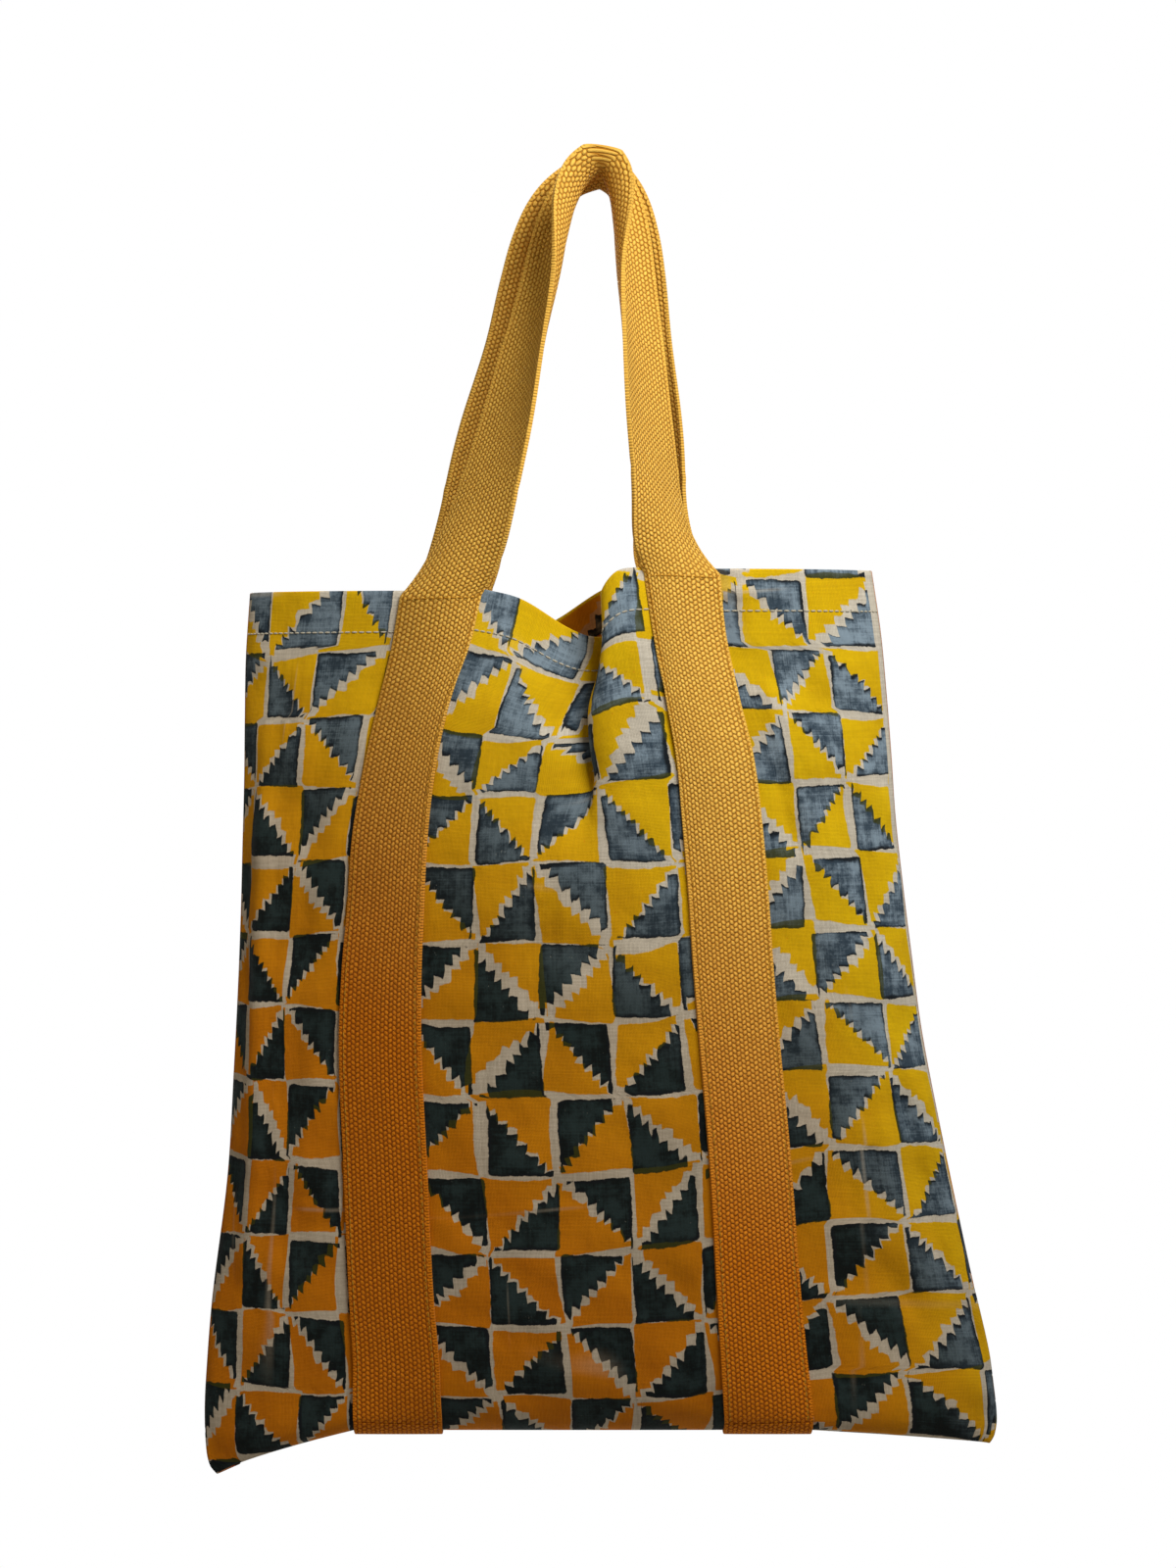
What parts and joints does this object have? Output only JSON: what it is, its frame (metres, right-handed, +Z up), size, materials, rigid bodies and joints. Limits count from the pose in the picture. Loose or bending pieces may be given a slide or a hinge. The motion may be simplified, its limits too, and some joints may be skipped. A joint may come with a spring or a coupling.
{
  "type": "tote bag",
  "caption": "Flat canvas tote bag with webbing straps sewn down both panels and carried up into long handles, shaped as it hangs from a hook.",
  "frame": {"origin": "the hang point: the middle of the underside of the two handles' crests, where a hook's seat carries them", "axes": "+Z up, +Y from the front panel to the back panel, +X to the right as seen from the front"},
  "size_m": [0.3584, 0.0918, 0.5986],
  "materials": {
    "printed_canvas": "matte printed cotton canvas",
    "raw_canvas": "matte unprinted cotton canvas",
    "webbing": "matte woven cotton webbing",
    "white_thread": "matte sewing thread",
    "ochre_thread": "matte sewing thread"
  },
  "bodies": {
    "bag": {"front_panel": "printed_canvas", "back_panel": "printed_canvas", "front_hem": "printed_canvas", "back_hem": "printed_canvas", "left_side_seam": "raw_canvas", "right_side_seam": "raw_canvas", "bottom_seam": "raw_canvas", "front_strap_left": "webbing", "front_strap_right": "webbing", "back_strap_left": "webbing", "back_strap_right": "webbing", "left_strap_underfold": "webbing", "right_strap_underfold": "webbing", "front_hem_thread": "white_thread", "back_hem_thread": "white_thread", "front_strap_thread_left": "ochre_thread", "front_strap_thread_right": "ochre_thread", "back_strap_thread_left": "ochre_thread", "back_strap_thread_right": "ochre_thread", "front_handle_tacks": "ochre_thread", "back_handle_tacks": "ochre_thread", "left_seam_thread": "white_thread", "right_seam_thread": "white_thread", "bottom_seam_thread": "white_thread"},
    "front_handle": {"front_handle": "webbing"},
    "back_handle": {"back_handle": "webbing"}
  },
  "joints": [
    {"name": "front_handle_fold", "type": "hinge", "parent": "bag", "child": "front_handle", "pos_m": [0, -0.039, -0.1803], "axis": [0.9951, 0, 0.0987], "range_deg": [0, 170]},
    {"name": "back_handle_fold", "type": "hinge", "parent": "bag", "child": "back_handle", "pos_m": [0, 0.039, -0.1803], "axis": [0.9951, 0, 0.0987], "range_deg": [-170, 0]}
  ]
}
